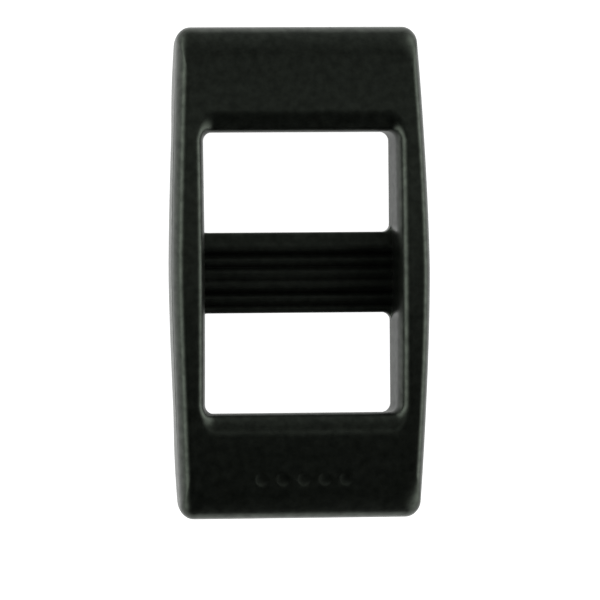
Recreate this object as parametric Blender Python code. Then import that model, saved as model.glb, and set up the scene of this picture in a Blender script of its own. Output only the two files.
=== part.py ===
"""Strap slider for 10 mm webbing: one moulded ring with two windows and a ribbed cross bar.

The part lies on its back. +Z is its front face, +Y its length and +X its width.
The origin is on the rest plane, under the middle of the part.
"""

from collections import namedtuple
from math import cos, hypot, pi, radians, sin

import bpy

MM = 0.001

# Driving dimensions. Everything in the plan follows from the webbing.
WEBBING = 10.0 * MM
WEBBING_PLAY = 0.5 * MM
RAIL_WIDTH = 1.78 * MM
LAND_LENGTH = 5.6 * MM
WINDOW_LENGTH = 5.33 * MM
BAR_WIDTH = 4.3 * MM
THICKNESS = 3.0 * MM

OPENING_X = (WEBBING + WEBBING_PLAY) / 2
OPENING_Y = BAR_WIDTH / 2 + WINDOW_LENGTH
HALF_WIDTH = OPENING_X + RAIL_WIDTH
HALF_LENGTH = OPENING_Y + LAND_LENGTH

# The sides bow out, so the part is widest across the bar. The front is arched along its length,
# and the back rises under the lands to make room for the webbing.
SIDE_DROP = 0.52 * MM
FRONT_DROP = 0.7 * MM
BACK_RISE = 0.6 * MM
OPENING_CORNER = 0.5 * MM
OUTER_CORNER = 0.8 * MM
FACE_CORNER = 1.1 * MM

# Edge roundings are elliptic: a run in plan and a drop in height. On the outside the front and
# back roundings meet at the parting line, so there is draft both ways from it.
RAIL_INNER_RUN, RAIL_INNER_DROP = 0.6 * MM, 0.95 * MM
LAND_INNER_RUN, LAND_INNER_DROP = 1.28 * MM, 0.75 * MM
RAIL_OUTER_RUN, RAIL_OUTER_DROP = 0.6 * MM, 0.92 * MM
LAND_OUTER_RUN, LAND_OUTER_DROP = 1.6 * MM, 0.93 * MM
BACK_INNER_EDGE = 0.25 * MM
BACK_OUTER_RUN = 0.45 * MM

# Cross bar: a low dome with grip grooves, set deep in the opening.
BAR_BACK = 0.1 * MM
BAR_EDGE_Z = 0.85 * MM
BAR_CREST_Z = 1.1 * MM
BAR_EDGE_ROUND = 0.2 * MM
BAR_FILLET = 0.45 * MM
BAR_EMBED = 0.5 * MM
GROOVE_PITCH = 0.68 * MM
FIRST_GROOVE_Y = 0.98 * MM
GROOVE_DEPTHS = [0.32 * MM, 0.28 * MM, 0.18 * MM, 0.34 * MM, 0.22 * MM]

# How finely curves are cut into facets.
RAIL_STEPS, SIDE_STEPS, CORNER_STEPS, END_STEPS, LAND_STEPS = 6, 6, 8, 5, 2
EDGE_STEPS, FACE_STEPS, OUTER_STEPS, BACK_EDGE_STEPS, WALL_STEPS = 6, 4, 7, 3, 2
BAR_FRONT_STEPS, FILLET_STEPS, BAR_EDGE_STEPS = 36, 4, 3

# One station of the ring, from the opening outwards: the wall of the opening, where its rounding
# meets the front face, where the outer rounding starts, the outline, and the two rounding heights.
Station = namedtuple("Station", "wall lip shoulder rim lip_drop rim_drop")


def blend(a, b, t):
    return a + (b - a) * t


def blend_point(a, b, t):
    return tuple(blend(p, q, t) for p, q in zip(a, b))


def smooth(t):
    return t * t * (3 - 2 * t)


def side_x(y):
    """Half-width of the bowed outline at y."""
    return HALF_WIDTH - SIDE_DROP * (abs(y) / HALF_LENGTH) ** 1.5


def front_z(y):
    return THICKNESS - FRONT_DROP * (y / HALF_LENGTH) ** 2


def back_z(y):
    past_opening = max(0.0, abs(y) - OPENING_Y)
    return BACK_RISE * (past_opening / LAND_LENGTH) ** 2


def rail_station(y):
    """Straight across the rail, at y."""
    return Station(
        (OPENING_X, y),
        (OPENING_X + RAIL_INNER_RUN, y),
        (side_x(y) - RAIL_OUTER_RUN, y),
        (side_x(y), y),
        RAIL_INNER_DROP,
        RAIL_OUTER_DROP,
    )


def outline_corner(t, turn, start, end):
    """One loop around the corner: up the side, round the corner arc and along the end.

    t is 0 to 3, one unit for each stretch; start and end are (x, y) where the loop begins and
    ends; turn holds the arc's centre and radius.
    """
    centre_x, centre_y, radius = turn
    if t <= 1:
        y = blend(start[1], centre_y, t)
        lean = start[0] - side_x(start[1])
        return (side_x(y) + lean, y)
    if t <= 2:
        angle = (t - 1) * pi / 2
        return (centre_x + radius * cos(angle), centre_y + radius * sin(angle))
    return (blend(centre_x, end[0], t - 2), end[1])


def corner_station(t):
    """A fan from the opening's small corner arc to the long way round the outline."""
    arc_x = OPENING_X - OPENING_CORNER
    arc_y = OPENING_Y - OPENING_CORNER
    angle = smooth(t / 3) * pi / 2
    share = sin(angle) ** 4
    lip = blend(RAIL_INNER_RUN, LAND_INNER_RUN, share)
    lip_drop = blend(RAIL_INNER_DROP, LAND_INNER_DROP, share)
    wall = (arc_x + OPENING_CORNER * cos(angle), arc_y + OPENING_CORNER * sin(angle))
    lip_at = (arc_x + (OPENING_CORNER + lip) * cos(angle), arc_y + (OPENING_CORNER + lip) * sin(angle))

    rim_y = HALF_LENGTH - OUTER_CORNER
    rim_turn = (side_x(rim_y) - OUTER_CORNER, rim_y, OUTER_CORNER)
    rim = outline_corner(t, rim_turn, (side_x(arc_y), arc_y), (arc_x, HALF_LENGTH))

    shoulder_end = HALF_LENGTH - LAND_OUTER_RUN
    shoulder_y = shoulder_end - FACE_CORNER
    shoulder_x = side_x(shoulder_y) - RAIL_OUTER_RUN - FACE_CORNER
    shoulder = outline_corner(
        t,
        (shoulder_x, shoulder_y, FACE_CORNER),
        (side_x(arc_y) - RAIL_OUTER_RUN, arc_y),
        (arc_x, shoulder_end),
    )
    turned = smooth(min(1.0, max(0.0, t - 1)))
    rim_drop = blend(RAIL_OUTER_DROP, LAND_OUTER_DROP, turned)
    return Station(wall, lip_at, shoulder, rim, lip_drop, rim_drop)


def land_station(x):
    """Straight across the end land, at x."""
    return Station(
        (x, OPENING_Y),
        (x, OPENING_Y + LAND_INNER_RUN),
        (x, HALF_LENGTH - LAND_OUTER_RUN),
        (x, HALF_LENGTH),
        LAND_INNER_DROP,
        LAND_OUTER_DROP,
    )


def quadrant():
    """Stations from the middle of the right rail to the middle of the far land."""
    straight_y = OPENING_Y - OPENING_CORNER
    straight_x = OPENING_X - OPENING_CORNER
    found = [rail_station(straight_y * i / RAIL_STEPS) for i in range(RAIL_STEPS)]
    for stretch, steps in enumerate((SIDE_STEPS, CORNER_STEPS, END_STEPS)):
        found += [corner_station(stretch + i / steps) for i in range(steps)]
    found += [land_station(straight_x * (1 - i / LAND_STEPS)) for i in range(LAND_STEPS + 1)]
    return found


def mirrored(station, sx, sy):
    places = [(sx * x, sy * y) for x, y in station[:4]]
    return Station(*places, station.lip_drop, station.rim_drop)


def ring_stations():
    """All the way round, anticlockwise seen from the front."""
    first = quadrant()
    ring = first[:-1]
    ring += [mirrored(s, -1, 1) for s in reversed(first[1:])]
    ring += [mirrored(s, -1, -1) for s in first[:-1]]
    ring += [mirrored(s, 1, -1) for s in reversed(first[1:])]
    return ring


def moved(start, towards, distance):
    """The point at this distance from start, towards another point."""
    dx, dy = towards[0] - start[0], towards[1] - start[1]
    share = distance / hypot(dx, dy)
    return (start[0] + dx * share, start[1] + dy * share)


def section(station):
    """The closed outline of the ring's wall at one station, from the opening's wall, over the
    front, down the outside and back underneath."""
    wall, lip, shoulder, rim = station[:4]
    heel = moved(rim, shoulder, BACK_OUTER_RUN)
    toe = moved(wall, lip, BACK_INNER_EDGE)
    wall_low = back_z(wall[1]) + BACK_INNER_EDGE
    wall_high = front_z(wall[1]) - station.lip_drop
    back_rise = front_z(rim[1]) - station.rim_drop - back_z(rim[1])

    points = [(*wall, blend(wall_low, wall_high, i / WALL_STEPS)) for i in range(WALL_STEPS)]
    for i in range(EDGE_STEPS):
        angle = i / EDGE_STEPS * pi / 2
        x, y = blend_point(lip, wall, cos(angle))
        points.append((x, y, front_z(y) - station.lip_drop * (1 - sin(angle))))
    for i in range(FACE_STEPS):
        x, y = blend_point(lip, shoulder, i / FACE_STEPS)
        points.append((x, y, front_z(y)))
    for i in range(OUTER_STEPS):
        angle = i / OUTER_STEPS * pi / 2
        x, y = blend_point(shoulder, rim, sin(angle))
        points.append((x, y, front_z(y) - station.rim_drop * (1 - cos(angle))))
    for i in range(OUTER_STEPS):
        angle = i / OUTER_STEPS * pi / 2
        x, y = blend_point(heel, rim, cos(angle))
        points.append((x, y, back_z(y) + back_rise * (1 - sin(angle))))
    for i in range(FACE_STEPS):
        x, y = blend_point(heel, toe, i / FACE_STEPS)
        points.append((x, y, back_z(y)))
    for i in range(BACK_EDGE_STEPS):
        angle = i / BACK_EDGE_STEPS * pi / 2
        x, y = blend_point(toe, wall, sin(angle))
        points.append((x, y, back_z(y) + BACK_INNER_EDGE * (1 - cos(angle))))
    return points


def bar_front_z(y):
    """Height of the bar's front at y: a dome cut by grip grooves, with round ribs between."""
    z = BAR_EDGE_Z + (BAR_CREST_Z - BAR_EDGE_Z) * (1 - (2 * y / BAR_WIDTH) ** 2)
    for i, depth in enumerate(GROOVE_DEPTHS):
        away = abs(y - (FIRST_GROOVE_Y - i * GROOVE_PITCH)) / GROOVE_PITCH
        if away < 0.5:
            z -= depth * (1 - sin(pi * away))
    return z


def bar_profile():
    """(y, z, spread) around the bar; spread says how far a fillet moves each point sideways."""
    flat = BAR_WIDTH / 2 - BAR_EDGE_ROUND
    front = [blend(flat, -flat, i / BAR_FRONT_STEPS) for i in range(BAR_FRONT_STEPS + 1)]
    points = [(y, bar_front_z(y), 0) for y in front]
    for side in (-1, 1):
        corners = []
        front_centre = bar_front_z(side * flat) - BAR_EDGE_ROUND
        for turn, centre_z in ((90, front_centre), (0, BAR_BACK + BAR_EDGE_ROUND)):
            for i in range(BAR_EDGE_STEPS + 1):
                angle = radians(turn - 90 * i / BAR_EDGE_STEPS)
                y = side * (flat + BAR_EDGE_ROUND * cos(angle))
                corners.append((y, centre_z + BAR_EDGE_ROUND * sin(angle), side * cos(angle)))
        points += corners[1:] if side < 0 else corners[:0:-1]
    return points


def bar_stations():
    """(x, fillet share) along the bar: share is 1 inside the rails and 0 where the bar is plain."""
    half = [(OPENING_X + BAR_EMBED, 1.0)]
    for i in range(FILLET_STEPS + 1):
        angle = i / FILLET_STEPS * pi / 2
        half.append((OPENING_X - BAR_FILLET * (1 - cos(angle)), 1 - sin(angle)))
    return [(-x, share) for x, share in half] + half[::-1]


def bar_points(x, share):
    return [(x, y + BAR_FILLET * share * spread, z) for y, z, spread in bar_profile()]


def skin(loops, closed):
    """Quads between neighbouring loops of the same length, wound so that they face outwards."""
    count, around = len(loops), len(loops[0])
    vertices = [point for loop in loops for point in loop]
    faces = []
    for i in range(count if closed else count - 1):
        here, there = i * around, (i + 1) % count * around
        for j in range(around):
            k = (j + 1) % around
            faces.append((here + j, here + k, there + k, there + j))
    if not closed:
        faces.append(tuple(reversed(range(around))))
        faces.append(tuple(range((count - 1) * around, count * around)))
    return vertices, faces


def add_object(name, vertices, faces, material):
    mesh = bpy.data.meshes.new(name)
    mesh.from_pydata(vertices, [], faces)
    mesh.materials.append(material)
    mesh.shade_smooth()
    made = bpy.data.objects.new(name, mesh)
    bpy.context.scene.collection.objects.link(made)
    return made


def black_plastic():
    material = bpy.data.materials.new("black_plastic")
    material.use_nodes = True
    shader = material.node_tree.nodes["Principled BSDF"]
    shader.inputs["Base Color"].default_value = (0.012, 0.014, 0.012, 1)
    shader.inputs["Roughness"].default_value = 0.4
    shader.inputs["Metallic"].default_value = 0
    return material


def build():
    for old in list(bpy.data.objects):
        bpy.data.objects.remove(old)
    plastic = black_plastic()
    frame = add_object("slider_body", *skin([section(s) for s in ring_stations()], True), plastic)
    bar = add_object("bar_to_join", *skin([bar_points(*s) for s in bar_stations()], False), plastic)
    bar.hide_render = True
    bar.display_type = "WIRE"
    join = frame.modifiers.new("join_bar", "BOOLEAN")
    join.operation = "UNION"
    join.solver = "EXACT"
    join.object = bar


build()
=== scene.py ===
"""Looks of the strap slider: the finely meshed moulding, its plastic, the light and the camera.

Everything is in metres, in the frame of the CAD model: the part lies on its back, +Z is its
front face, +Y its length and +X its width. The visible body repeats the CAD shape in finer
steps and adds what the CAD leaves out: the parting line, ejector marks, gate scar and dimples.
"""

from collections import namedtuple
from math import cos, hypot, pi, radians, sin, sqrt

import bpy
from mathutils import Matrix, Vector


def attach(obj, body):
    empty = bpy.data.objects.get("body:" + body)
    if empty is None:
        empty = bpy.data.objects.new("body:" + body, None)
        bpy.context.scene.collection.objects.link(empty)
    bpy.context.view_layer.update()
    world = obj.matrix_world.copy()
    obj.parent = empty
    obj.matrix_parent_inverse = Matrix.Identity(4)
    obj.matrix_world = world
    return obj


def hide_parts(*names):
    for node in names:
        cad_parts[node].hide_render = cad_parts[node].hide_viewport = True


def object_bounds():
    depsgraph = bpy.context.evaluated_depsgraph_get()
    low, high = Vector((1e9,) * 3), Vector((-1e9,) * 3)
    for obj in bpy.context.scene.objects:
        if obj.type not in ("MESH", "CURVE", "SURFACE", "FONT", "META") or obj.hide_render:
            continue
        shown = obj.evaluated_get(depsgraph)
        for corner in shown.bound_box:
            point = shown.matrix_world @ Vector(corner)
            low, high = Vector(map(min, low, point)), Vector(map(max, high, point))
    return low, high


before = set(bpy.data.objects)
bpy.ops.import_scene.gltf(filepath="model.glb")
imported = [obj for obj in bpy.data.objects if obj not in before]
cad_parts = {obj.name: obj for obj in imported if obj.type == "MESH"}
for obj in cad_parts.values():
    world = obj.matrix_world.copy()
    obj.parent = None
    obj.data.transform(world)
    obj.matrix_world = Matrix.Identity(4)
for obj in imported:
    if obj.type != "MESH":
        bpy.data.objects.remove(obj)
cad_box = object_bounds()

MM = 0.001

# Plan and side view, as in the CAD model.
RAIL_WIDTH = 1.78 * MM
LAND_LENGTH = 5.6 * MM
BAR_WIDTH = 4.3 * MM
SIDE_DROP = 0.52 * MM
FRONT_DROP = 0.7 * MM
BACK_RISE = 0.6 * MM

# The overall sizes come from the frame, so that this body fills the CAD model's box.
THICKNESS = cad_box[1].z
HALF_WIDTH = cad_box[1].x
HALF_LENGTH = cad_box[1].y
OPENING_X = HALF_WIDTH - RAIL_WIDTH
OPENING_Y = HALF_LENGTH - LAND_LENGTH

OPENING_CORNER = 0.5 * MM
OUTER_CORNER = 0.8 * MM
FACE_CORNER = 1.1 * MM
RAIL_INNER_RUN, RAIL_INNER_DROP = 0.6 * MM, 0.95 * MM
LAND_INNER_RUN, LAND_INNER_DROP = 1.28 * MM, 0.75 * MM
RAIL_OUTER_RUN, RAIL_OUTER_DROP = 0.6 * MM, 0.92 * MM
LAND_OUTER_RUN, LAND_OUTER_DROP = 1.6 * MM, 0.93 * MM
BACK_INNER_EDGE = 0.25 * MM
BACK_OUTER_RUN = 0.45 * MM
FLASH_PROUD = 0.018 * MM
FLASH_HALF_HEIGHT = 0.035 * MM

BAR_BACK = 0.1 * MM
BAR_EDGE_Z = 0.85 * MM
BAR_CREST_Z = 1.1 * MM
BAR_EDGE_ROUND = 0.2 * MM
BAR_FILLET = 0.45 * MM
BAR_EMBED = 0.5 * MM
GROOVE_PITCH = 0.68 * MM
FIRST_GROOVE_Y = 0.98 * MM
GROOVE_DEPTHS = [0.32 * MM, 0.28 * MM, 0.18 * MM, 0.34 * MM, 0.22 * MM]

RAIL_STEPS, SIDE_STEPS, CORNER_STEPS, END_STEPS, LAND_STEPS = 26, 18, 18, 12, 16
EDGE_STEPS, FACE_STEPS, OUTER_STEPS, BACK_EDGE_STEPS, WALL_STEPS = 14, 10, 20, 6, 6
BAR_FRONT_STEPS, FILLET_STEPS, BAR_EDGE_STEPS, BAR_LENGTH_STEPS = 150, 10, 6, 24
SHARP_ANGLE = radians(32)

# Marks of the mould: places in plan, and sizes.
DIMPLE_COUNT, DIMPLE_PITCH, DIMPLE_RADIUS, DIMPLE_DEPTH = 5, 1.15 * MM, 0.36 * MM, 0.03 * MM
DIMPLE_Y = -11.0 * MM
EJECTOR_X, EJECTOR_Y, EJECTOR_RADIUS, EJECTOR_DEPTH = 3.6 * MM, 10.3 * MM, 0.8 * MM, 0.05 * MM
GATE_Y, GATE_Z, GATE_RADIUS, GATE_DEPTH = -3.0 * MM, 1.3 * MM, 0.4 * MM, 0.05 * MM

# The plastic: how many noise features to a metre, how deep each relief is, and the range that the
# roughness and the reflection vary over. Matt places are rougher and reflect less; the lower
# reflection is painted shade in the bar's grooves and on the walls of the windows. NOISE_SPREAD is
# where most of a noise texture's values lie.
GRAIN_SCALE, MOTTLE_SCALE, FLOW_SCALE, PATCH_SCALE = 9000.0, 2300.0, 520.0, 1900.0
GRAIN_RELIEF, MOTTLE_RELIEF, FLOW_RELIEF = 0.0012 * MM, 0.0014 * MM, 0.012 * MM
ROUGH_LOW, ROUGH_HIGH, ROUGH_WHERE_DULL = 0.275, 0.325, 0.22
# The last gloss value turns the reflection down in the bar's grooves and on the window walls, as
# painted shade.
GLOSS_LOW, GLOSS_HIGH, GLOSS_IN_PAINTED_SHADE = 0.38, 0.62, 0.35
NOISE_SPREAD, WORN_AND_SHEEN_POINTINESS = (0.3, 0.7), (0.50, 0.62)
PLASTIC_DARK = (0.0010, 0.0012, 0.0010, 1)
PLASTIC_PALE = (0.0020, 0.0023, 0.0019, 1)
# Sharp edges are lighter: wear, and a painted sheen standing in for their shine.
PLASTIC_WORN_AND_SHEEN = (0.003, 0.0034, 0.0029, 1)
REFLECTION_TINT = (0.88, 1.0, 0.84, 1)

# How much the walls of the windows are roughened and darkened by painted shade, against 1 for the
# grooves of the bar, and how wide the bands are that this fades over.
WALL_DULL_AND_SHADE = 0.55
WALL_FADE, GROOVE_END_FADE, BAR_END_FADE = 0.12 * MM, 0.3 * MM, 0.1 * MM

# Brightness of the studio, against 1 for the white of the floor.
FLOOR_RADIANCE, HORIZON_RADIANCE = 0.97, 0.9
BOX_RADIANCE, ROOF_STEP, ROOF_GLOW, ROOF_RISE = 2.8, 0.06, 0.80, 0.33
ROOF_LOW_SHARE = 0.55
STUDIO_COLOUR = (0.97, 1.0, 0.97, 1)

# Where the lights start and end, as parts of a direction of length 1: UP is its Z, SIDE its X
# without the sign, and ALONG its Y.
BOX_FOOT_UP, BOX_TOP_UP, BOX_SIDE = (-0.05, 0.20), (0.30, 0.95), (0.30, 0.80)
ROOF_STEP_ALONG, ROOF_RISE_ALONG, ROOF_FOOT_UP = (0.0, 0.20), (0.25, 1.0), (0.0, 0.4)
GLOW_AT, GLOW_HALF_WIDTH = 0.10, 0.10
HORIZON_UP = (-0.05, 0.0)

FLOOR_HALF, FLOOR_Z = 0.6, -0.00001

# The camera turns about the part's length, and aims a little off its centre.
LENS_MM, SENSOR_MM, CAMERA_DISTANCE = 676, 36, 0.600
CAMERA_YAW, CAMERA_ROLL = radians(12.5), radians(0.45)
AIM_RIGHT, AIM_DOWN = 0.07 * MM, 1.465 * MM

Station = namedtuple("Station", "wall lip shoulder rim lip_drop rim_drop")


def blend(a, b, t):
    return a + (b - a) * t


def blend_point(a, b, t):
    return tuple(blend(p, q, t) for p, q in zip(a, b))


def smooth(t):
    return t * t * (3 - 2 * t)


def side_x(y):
    """Half-width of the bowed outline at y."""
    return HALF_WIDTH - SIDE_DROP * (abs(y) / HALF_LENGTH) ** 1.5


def front_z(y):
    return THICKNESS - FRONT_DROP * (y / HALF_LENGTH) ** 2


def back_z(y):
    past_opening = max(0.0, abs(y) - OPENING_Y)
    return BACK_RISE * (past_opening / LAND_LENGTH) ** 2


def rail_station(y):
    """Straight across the rail, at y."""
    return Station(
        (OPENING_X, y),
        (OPENING_X + RAIL_INNER_RUN, y),
        (side_x(y) - RAIL_OUTER_RUN, y),
        (side_x(y), y),
        RAIL_INNER_DROP,
        RAIL_OUTER_DROP,
    )


def outline_corner(t, turn, start, end):
    """One loop around the corner: up the side, round the corner arc and along the end.

    t is 0 to 3, one unit for each stretch; start and end are (x, y) where the loop begins and
    ends; turn holds the arc's centre and radius.
    """
    centre_x, centre_y, radius = turn
    if t <= 1:
        y = blend(start[1], centre_y, t)
        lean = start[0] - side_x(start[1])
        return (side_x(y) + lean, y)
    if t <= 2:
        angle = (t - 1) * pi / 2
        return (centre_x + radius * cos(angle), centre_y + radius * sin(angle))
    return (blend(centre_x, end[0], t - 2), end[1])


def corner_station(t):
    """A fan from the opening's small corner arc to the long way round the outline."""
    arc_x = OPENING_X - OPENING_CORNER
    arc_y = OPENING_Y - OPENING_CORNER
    angle = smooth(t / 3) * pi / 2
    share = sin(angle) ** 4
    lip = blend(RAIL_INNER_RUN, LAND_INNER_RUN, share)
    lip_drop = blend(RAIL_INNER_DROP, LAND_INNER_DROP, share)
    lip_radius = OPENING_CORNER + lip
    wall = (arc_x + OPENING_CORNER * cos(angle), arc_y + OPENING_CORNER * sin(angle))
    lip_at = (arc_x + lip_radius * cos(angle), arc_y + lip_radius * sin(angle))

    rim_y = HALF_LENGTH - OUTER_CORNER
    rim_turn = (side_x(rim_y) - OUTER_CORNER, rim_y, OUTER_CORNER)
    rim = outline_corner(t, rim_turn, (side_x(arc_y), arc_y), (arc_x, HALF_LENGTH))

    shoulder_end = HALF_LENGTH - LAND_OUTER_RUN
    shoulder_y = shoulder_end - FACE_CORNER
    shoulder_x = side_x(shoulder_y) - RAIL_OUTER_RUN - FACE_CORNER
    shoulder = outline_corner(
        t,
        (shoulder_x, shoulder_y, FACE_CORNER),
        (side_x(arc_y) - RAIL_OUTER_RUN, arc_y),
        (arc_x, shoulder_end),
    )
    turned = smooth(min(1.0, max(0.0, t - 1)))
    rim_drop = blend(RAIL_OUTER_DROP, LAND_OUTER_DROP, turned)
    return Station(wall, lip_at, shoulder, rim, lip_drop, rim_drop)


def land_station(x):
    """Straight across the end land, at x."""
    return Station(
        (x, OPENING_Y),
        (x, OPENING_Y + LAND_INNER_RUN),
        (x, HALF_LENGTH - LAND_OUTER_RUN),
        (x, HALF_LENGTH),
        LAND_INNER_DROP,
        LAND_OUTER_DROP,
    )


def quadrant():
    """Stations from the middle of the right rail to the middle of the far land."""
    straight_y = OPENING_Y - OPENING_CORNER
    straight_x = OPENING_X - OPENING_CORNER
    found = [rail_station(straight_y * i / RAIL_STEPS) for i in range(RAIL_STEPS)]
    for stretch, steps in enumerate((SIDE_STEPS, CORNER_STEPS, END_STEPS)):
        found += [corner_station(stretch + i / steps) for i in range(steps)]
    found += [land_station(straight_x * (1 - i / LAND_STEPS)) for i in range(LAND_STEPS + 1)]
    return found


def mirrored(station, sx, sy):
    places = [(sx * x, sy * y) for x, y in station[:4]]
    return Station(*places, station.lip_drop, station.rim_drop)


def ring_stations():
    """All the way round, anticlockwise seen from the front."""
    first = quadrant()
    ring = first[:-1]
    ring += [mirrored(s, -1, 1) for s in reversed(first[1:])]
    ring += [mirrored(s, -1, -1) for s in first[:-1]]
    ring += [mirrored(s, 1, -1) for s in reversed(first[1:])]
    return ring


def moved(start, towards, distance):
    """The point at this distance from start, towards another point."""
    dx, dy = towards[0] - start[0], towards[1] - start[1]
    share = distance / hypot(dx, dy)
    return (start[0] + dx * share, start[1] + dy * share)


def section(station):
    """The closed outline of the ring's wall at one station, from the opening's wall, over the
    front, down the outside and back underneath."""
    wall, lip, shoulder, rim = station[:4]
    brow = moved(rim, shoulder, FLASH_PROUD)
    heel = moved(rim, shoulder, BACK_OUTER_RUN)
    toe = moved(wall, lip, BACK_INNER_EDGE)
    wall_low = back_z(wall[1]) + BACK_INNER_EDGE
    wall_high = front_z(wall[1]) - station.lip_drop
    parting = front_z(rim[1]) - station.rim_drop
    front_drop = station.rim_drop - FLASH_HALF_HEIGHT
    back_rise = parting - FLASH_HALF_HEIGHT - back_z(rim[1])

    points = [(*wall, blend(wall_low, wall_high, i / WALL_STEPS)) for i in range(WALL_STEPS)]
    for i in range(EDGE_STEPS):
        angle = i / EDGE_STEPS * pi / 2
        x, y = blend_point(lip, wall, cos(angle))
        points.append((x, y, front_z(y) - station.lip_drop * (1 - sin(angle))))
    for i in range(FACE_STEPS):
        x, y = blend_point(lip, shoulder, i / FACE_STEPS)
        points.append((x, y, front_z(y)))
    for i in range(OUTER_STEPS + 1):
        angle = i / OUTER_STEPS * pi / 2
        x, y = blend_point(shoulder, brow, sin(angle))
        points.append((x, y, front_z(y) - front_drop * (1 - cos(angle))))
    points.append((*rim, parting))
    for i in range(OUTER_STEPS):
        angle = i / OUTER_STEPS * pi / 2
        x, y = blend_point(heel, brow, cos(angle))
        points.append((x, y, back_z(y) + back_rise * (1 - sin(angle))))
    for i in range(FACE_STEPS):
        x, y = blend_point(heel, toe, i / FACE_STEPS)
        points.append((x, y, back_z(y)))
    for i in range(BACK_EDGE_STEPS):
        angle = i / BACK_EDGE_STEPS * pi / 2
        x, y = blend_point(toe, wall, sin(angle))
        points.append((x, y, back_z(y) + BACK_INNER_EDGE * (1 - cos(angle))))
    return points


def bar_front_z(y):
    """Height of the bar's front at y: a dome cut by grip grooves, with round ribs between."""
    z = BAR_EDGE_Z + (BAR_CREST_Z - BAR_EDGE_Z) * (1 - (2 * y / BAR_WIDTH) ** 2)
    for i, depth in enumerate(GROOVE_DEPTHS):
        away = abs(y - (FIRST_GROOVE_Y - i * GROOVE_PITCH)) / GROOVE_PITCH
        if away < 0.5:
            z -= depth * (1 - sin(pi * away))
    return z


def bar_profile():
    """(y, z, spread) around the bar; spread says how far a fillet moves each point sideways."""
    flat = BAR_WIDTH / 2 - BAR_EDGE_ROUND
    front = [blend(flat, -flat, i / BAR_FRONT_STEPS) for i in range(BAR_FRONT_STEPS + 1)]
    points = [(y, bar_front_z(y), 0) for y in front]
    for side in (-1, 1):
        corners = []
        front_centre = bar_front_z(side * flat) - BAR_EDGE_ROUND
        for turn, centre_z in ((90, front_centre), (0, BAR_BACK + BAR_EDGE_ROUND)):
            for i in range(BAR_EDGE_STEPS + 1):
                angle = radians(turn - 90 * i / BAR_EDGE_STEPS)
                y = side * (flat + BAR_EDGE_ROUND * cos(angle))
                corners.append((y, centre_z + BAR_EDGE_ROUND * sin(angle), side * cos(angle)))
        points += corners[1:] if side < 0 else corners[:0:-1]
    return points


def bar_stations():
    """(x, fillet share) along the bar: share is 1 inside the rails and 0 where the bar is plain."""
    half = [(OPENING_X + BAR_EMBED, 1.0)]
    for i in range(FILLET_STEPS + 1):
        angle = i / FILLET_STEPS * pi / 2
        half.append((OPENING_X - BAR_FILLET * (1 - cos(angle)), 1 - sin(angle)))
    plain = OPENING_X - BAR_FILLET
    middle = [(plain * (2 * i / BAR_LENGTH_STEPS - 1), 0.0) for i in range(1, BAR_LENGTH_STEPS)]
    return [(-x, share) for x, share in half] + middle + half[::-1]


def bar_points(x, share):
    return [(x, y + BAR_FILLET * share * spread, z) for y, z, spread in bar_profile()]


def skin(loops, closed):
    """Quads between neighbouring loops of the same length, wound so that they face outwards."""
    count, around = len(loops), len(loops[0])
    vertices = [point for loop in loops for point in loop]
    faces = []
    for i in range(count if closed else count - 1):
        here, there = i * around, (i + 1) % count * around
        for j in range(around):
            k = (j + 1) % around
            faces.append((here + j, here + k, there + k, there + j))
    if not closed:
        faces.append(tuple(reversed(range(around))))
        faces.append(tuple(range((count - 1) * around, count * around)))
    return vertices, faces


def add_object(name, vertices, faces):
    mesh = bpy.data.meshes.new(name)
    mesh.from_pydata(vertices, [], faces)
    made = bpy.data.objects.new(name, mesh)
    bpy.context.scene.collection.objects.link(made)
    return made


def add_cap(name, centre, axis, radius, depth, rings=8, sides=40):
    """A lens-shaped cutter: its bulging side sinks to depth below centre, against axis."""
    turn = Vector((0, 0, 1)).rotation_difference(Vector(axis)).to_matrix().to_4x4()
    place = Matrix.Translation(centre) @ turn
    ball = (radius**2 + depth**2) / (2 * depth)
    vertices = [place @ Vector((0, 0, -depth))]
    for i in range(1, rings + 1):
        r = radius * 1.1 * i / rings
        z = ball - depth - sqrt(ball**2 - r**2)
        for j in range(sides):
            angle = 2 * pi * j / sides
            vertices.append(place @ Vector((r * cos(angle), r * sin(angle), z)))
    vertices.append(place @ Vector((0, 0, 4 * depth)))
    faces = [(0, 1 + (j + 1) % sides, 1 + j) for j in range(sides)]
    for i in range(rings - 1):
        near, far = 1 + i * sides, 1 + (i + 1) * sides
        for j in range(sides):
            k = (j + 1) % sides
            faces.append((near + j, near + k, far + k, far + j))
    top, last = len(vertices) - 1, 1 + (rings - 1) * sides
    faces += [(top, last + j, last + (j + 1) % sides) for j in range(sides)]
    return add_object(name, [tuple(v) for v in vertices], faces)


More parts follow.
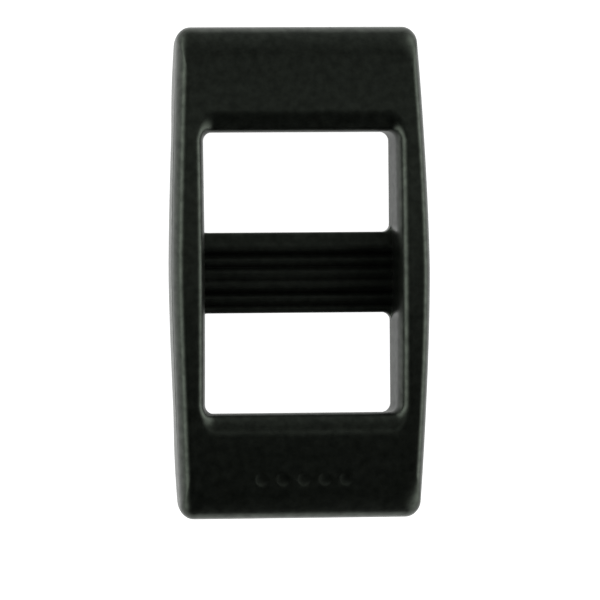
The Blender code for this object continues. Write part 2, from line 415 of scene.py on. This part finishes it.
def mould_marks():
    """Cutters for the dimples on the near land, the ejector marks and the gate scar."""
    cutters = []
    for i in range(DIMPLE_COUNT):
        x = (i - (DIMPLE_COUNT - 1) / 2) * DIMPLE_PITCH
        slope = 2 * FRONT_DROP * DIMPLE_Y / HALF_LENGTH**2
        place = (x, DIMPLE_Y, front_z(DIMPLE_Y))
        cutters.append(add_cap(f"dimple_{i}", place, (0, slope, 1), DIMPLE_RADIUS, DIMPLE_DEPTH))
    for sx in (-1, 1):
        for sy in (-1, 1):
            slope = 2 * BACK_RISE * (EJECTOR_Y - OPENING_Y) / LAND_LENGTH**2
            place = (sx * EJECTOR_X, sy * EJECTOR_Y, back_z(EJECTOR_Y))
            name = f"ejector_{sx}_{sy}"
            cutters.append(add_cap(name, place, (0, sy * slope, -1), EJECTOR_RADIUS, EJECTOR_DEPTH))
    parting = front_z(GATE_Y) - RAIL_OUTER_DROP - FLASH_HALF_HEIGHT
    sunk, run = 1 - GATE_Z / parting, BACK_OUTER_RUN - FLASH_PROUD
    drawn_in = run * (1 - sqrt(1 - sunk**2))
    lean = run * sunk / (parting * sqrt(1 - sunk**2))
    gate_at = (side_x(GATE_Y) - FLASH_PROUD - drawn_in, GATE_Y, GATE_Z)
    cutters.append(add_cap("gate", gate_at, (1, 0, -lean), GATE_RADIUS, GATE_DEPTH))
    return cutters


def combine(body, other, operation):
    """Booleans other into body for good, and removes other."""
    step = body.modifiers.new("combine", "BOOLEAN")
    step.operation = operation
    step.solver = "EXACT"
    step.object = other
    evaluated = body.evaluated_get(bpy.context.evaluated_depsgraph_get())
    mesh = bpy.data.meshes.new_from_object(evaluated)
    body.modifiers.clear()
    body.data = mesh
    bpy.data.objects.remove(other)


def slider_body():
    body = add_object("slider_moulding", *skin([section(s) for s in ring_stations()], True))
    bar = add_object("ribbed_bar", *skin([bar_points(*s) for s in bar_stations()], False))
    combine(body, bar, "UNION")
    for cutter in mould_marks():
        combine(body, cutter, "DIFFERENCE")
    body.data.shade_smooth()
    body.data.set_sharp_from_angle(angle=SHARP_ANGLE)
    return body


def node(tree, kind, **values):
    """A shader node with its inputs or properties set by name."""
    made = tree.nodes.new(kind)
    for name, value in values.items():
        socket = made.inputs.get(name.replace("_", " "))
        if socket is not None:
            socket.default_value = value
        else:
            setattr(made, name, value)
    return made


def joined(tree, operation, a, b):
    made = node(tree, "ShaderNodeMath", operation=operation)
    tree.links.new(a, made.inputs[0])
    tree.links.new(b, made.inputs[1])
    return made.outputs["Value"]


def ramp(tree, value, start, end, low, high, kind="SMOOTHSTEP"):
    made = node(tree, "ShaderNodeMapRange", From_Min=start, From_Max=end, To_Min=low, To_Max=high)
    made.interpolation_type = kind
    tree.links.new(value, made.inputs["Value"])
    return made.outputs["Result"]


def dull_and_shaded(tree, where):
    """Mask for extra roughness and painted shade: 1 in the grooves of the bar, less on the walls of
    the windows and 0 elsewhere.
    """
    away = node(tree, "ShaderNodeVectorMath", operation="ABSOLUTE")
    tree.links.new(where, away.inputs[0])
    size = node(tree, "ShaderNodeSeparateXYZ")
    tree.links.new(away.outputs["Vector"], size.inputs["Vector"])
    signed = node(tree, "ShaderNodeSeparateXYZ")
    tree.links.new(where, signed.inputs["Vector"])

    bar_end, grooves_end = BAR_WIDTH / 2, FIRST_GROOVE_Y + GROOVE_PITCH / 2
    across = ramp(tree, size.outputs["X"], OPENING_X - BAR_END_FADE, OPENING_X, 1.0, 0.0)
    far = ramp(tree, signed.outputs["Y"], grooves_end, grooves_end + GROOVE_END_FADE, 1.0, 0.0)
    near = ramp(tree, signed.outputs["Y"], -bar_end - BAR_FILLET, -bar_end, 0.0, 1.0)
    grooves = joined(tree, "MULTIPLY", across, joined(tree, "MULTIPLY", far, near))

    sides = ramp(tree, size.outputs["X"], OPENING_X, OPENING_X + WALL_FADE, 1.0, 0.0)
    ends = ramp(tree, size.outputs["Y"], OPENING_Y, OPENING_Y + WALL_FADE, 1.0, 0.0)
    window = ramp(tree, size.outputs["Y"], bar_end, bar_end + BAR_FILLET, 0.0, WALL_DULL_AND_SHADE)
    walls = joined(tree, "MULTIPLY", window, joined(tree, "MULTIPLY", sides, ends))
    return joined(tree, "MAXIMUM", grooves, walls)


def black_plastic():
    """Near-black moulded plastic: spark-eroded satin grain, slight sink, painted shade in the
    recesses, and sharp edges lightened as wear and as a painted sheen.
    """
    material = bpy.data.materials.new("black_plastic")
    material.use_nodes = True
    tree = material.node_tree
    link = tree.links.new
    shader = tree.nodes["Principled BSDF"]
    shader.inputs["IOR"].default_value = 1.5
    shader.inputs["Specular Tint"].default_value = REFLECTION_TINT

    where = node(tree, "ShaderNodeTexCoord").outputs["Object"]
    grain = node(tree, "ShaderNodeTexNoise", Scale=GRAIN_SCALE, Detail=2.0, Roughness=0.6)
    mottle = node(tree, "ShaderNodeTexNoise", Scale=MOTTLE_SCALE, Detail=2.0, Roughness=0.5)
    flow = node(tree, "ShaderNodeTexNoise", Scale=FLOW_SCALE, Detail=2.0, Roughness=0.5)
    patches = node(tree, "ShaderNodeTexNoise", Scale=PATCH_SCALE, Detail=3.0, Roughness=0.6)
    for texture in (grain, mottle, flow, patches):
        link(where, texture.inputs["Vector"])

    tone = node(tree, "ShaderNodeValToRGB")
    tone.color_ramp.elements[0].color = PLASTIC_DARK
    tone.color_ramp.elements[1].color = PLASTIC_PALE
    link(patches.outputs["Fac"], tone.inputs["Fac"])

    pointiness = node(tree, "ShaderNodeNewGeometry").outputs["Pointiness"]
    # Sharp edges lightened: wear, and a painted sheen for their shine.
    worn_and_sheen = node(tree, "ShaderNodeMix", data_type="RGBA")
    link(ramp(tree, pointiness, *WORN_AND_SHEEN_POINTINESS, 0.0, 1.0, "LINEAR"), worn_and_sheen.inputs["Factor"])
    link(tone.outputs["Color"], worn_and_sheen.inputs["A"])
    worn_and_sheen.inputs["B"].default_value = PLASTIC_WORN_AND_SHEEN
    link(worn_and_sheen.outputs["Result"], shader.inputs["Base Color"])

    dull_and_shade = dull_and_shaded(tree, where)
    satin = ramp(tree, patches.outputs["Fac"], *NOISE_SPREAD, ROUGH_LOW, ROUGH_HIGH, "LINEAR")
    extra = ramp(tree, dull_and_shade, 0.0, 1.0, 0.0, ROUGH_WHERE_DULL, "LINEAR")
    link(joined(tree, "ADD", extra, satin), shader.inputs["Roughness"])
    gloss = ramp(tree, mottle.outputs["Fac"], *NOISE_SPREAD, GLOSS_LOW, GLOSS_HIGH, "LINEAR")
    # Painted shade: the reflection is turned down in the bar's grooves and on the window walls.
    share = ramp(tree, dull_and_shade, 0.0, 1.0, 1.0, GLOSS_IN_PAINTED_SHADE, "LINEAR")
    link(joined(tree, "MULTIPLY", gloss, share), shader.inputs["Specular IOR Level"])

    surface = None
    for source, depth in ((flow, FLOW_RELIEF), (mottle, MOTTLE_RELIEF), (grain, GRAIN_RELIEF)):
        relief = node(tree, "ShaderNodeBump", Strength=1.0, Distance=depth)
        link(source.outputs["Fac"], relief.inputs["Height"])
        if surface is not None:
            link(surface, relief.inputs["Normal"])
        surface = relief.outputs["Normal"]
    link(surface, shader.inputs["Normal"])
    return material


def floor():
    """A pale, evenly lit sheet, like a light table."""
    half = FLOOR_HALF
    corners = [(-half, -half, 0), (half, -half, 0), (half, half, 0), (-half, half, 0)]
    made = add_object("floor", corners, [(0, 1, 2, 3)])
    made.location.z = FLOOR_Z
    material = bpy.data.materials.new("light_table")
    material.use_nodes = True
    shader = material.node_tree.nodes["Principled BSDF"]
    shader.inputs["Base Color"].default_value = (0.5, 0.5, 0.5, 1)
    shader.inputs["Roughness"].default_value = 0.9
    shader.inputs["Emission Color"].default_value = (1, 1, 1, 1)
    shader.inputs["Emission Strength"].default_value = FLOOR_RADIANCE
    made.data.materials.append(material)
    return made


def studio_light():
    """Two tall soft boxes, left and right, and a roof that is dark towards the near end, with a
    pale strip just past overhead, and that brightens again towards the far end."""
    world = bpy.data.worlds.new("studio")
    bpy.context.scene.world = world
    world.use_nodes = True
    tree = world.node_tree
    split = node(tree, "ShaderNodeSeparateXYZ")
    tree.links.new(node(tree, "ShaderNodeTexCoord").outputs["Generated"], split.inputs["Vector"])
    up, along = split.outputs["Z"], split.outputs["Y"]
    sideways = node(tree, "ShaderNodeMath", operation="ABSOLUTE")
    tree.links.new(split.outputs["X"], sideways.inputs[0])
    lower = ramp(tree, up, *BOX_FOOT_UP, 0.0, 1.0)
    upper = ramp(tree, up, *BOX_TOP_UP, 1.0, 0.0)
    width = ramp(tree, sideways.outputs["Value"], *BOX_SIDE, 0.0, BOX_RADIANCE)
    boxes = joined(tree, "MULTIPLY", joined(tree, "MULTIPLY", lower, upper), width)

    step = ramp(tree, along, *ROOF_STEP_ALONG, 0.0, ROOF_STEP)
    rise = ramp(tree, along, *ROOF_RISE_ALONG, 0.0, ROOF_RISE, "LINEAR")
    from_glow = node(tree, "ShaderNodeMath", operation="SUBTRACT")
    from_glow.inputs[1].default_value = GLOW_AT
    tree.links.new(along, from_glow.inputs[0])
    aside = node(tree, "ShaderNodeMath", operation="ABSOLUTE")
    tree.links.new(from_glow.outputs["Value"], aside.inputs[0])
    glow = ramp(tree, aside.outputs["Value"], 0.0, GLOW_HALF_WIDTH, ROOF_GLOW, 0.0)
    roof = joined(tree, "ADD", joined(tree, "ADD", step, rise), glow)
    roof = joined(tree, "MULTIPLY", roof, ramp(tree, up, *ROOF_FOOT_UP, ROOF_LOW_SHARE, 1.0))

    below = ramp(tree, up, *HORIZON_UP, HORIZON_RADIANCE, 0.0)
    total = joined(tree, "ADD", joined(tree, "ADD", boxes, roof), below)
    tree.links.new(total, tree.nodes["Background"].inputs["Strength"])
    tree.nodes["Background"].inputs["Color"].default_value = STUDIO_COLOUR
    bpy.context.scene.view_settings.view_transform = "Standard"


def camera():
    """Above the part and a little to its left, with a long lens, as a product picture is taken."""
    data = bpy.data.cameras.new("camera")
    made = bpy.data.objects.new("camera", data)
    bpy.context.scene.collection.objects.link(made)
    bpy.context.scene.camera = made
    data.sensor_width = SENSOR_MM
    data.lens = LENS_MM
    data.clip_start, data.clip_end = 0.01, 3.0
    back = Vector((-sin(CAMERA_YAW), 0, cos(CAMERA_YAW)))
    right = Vector((cos(CAMERA_YAW), 0, sin(CAMERA_YAW)))
    up = Vector((0, 1, 0))
    centre = Vector((0, 0, THICKNESS / 2))
    aim = centre + right * AIM_RIGHT - up * AIM_DOWN
    place = centre + back * CAMERA_DISTANCE
    look = (aim - place).normalized()
    tilted_up = (up * cos(CAMERA_ROLL) + right * sin(CAMERA_ROLL)).normalized()
    side = look.cross(tilted_up).normalized()
    true_up = side.cross(look)
    turn = Matrix((side, true_up, -look)).transposed().to_4x4()
    made.matrix_world = Matrix.Translation(place) @ turn
    return made


camera()
studio_light()
floor()
body = slider_body()
body.data.materials.clear()
body.data.materials.append(black_plastic())
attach(body, "root")
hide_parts("slider_body")
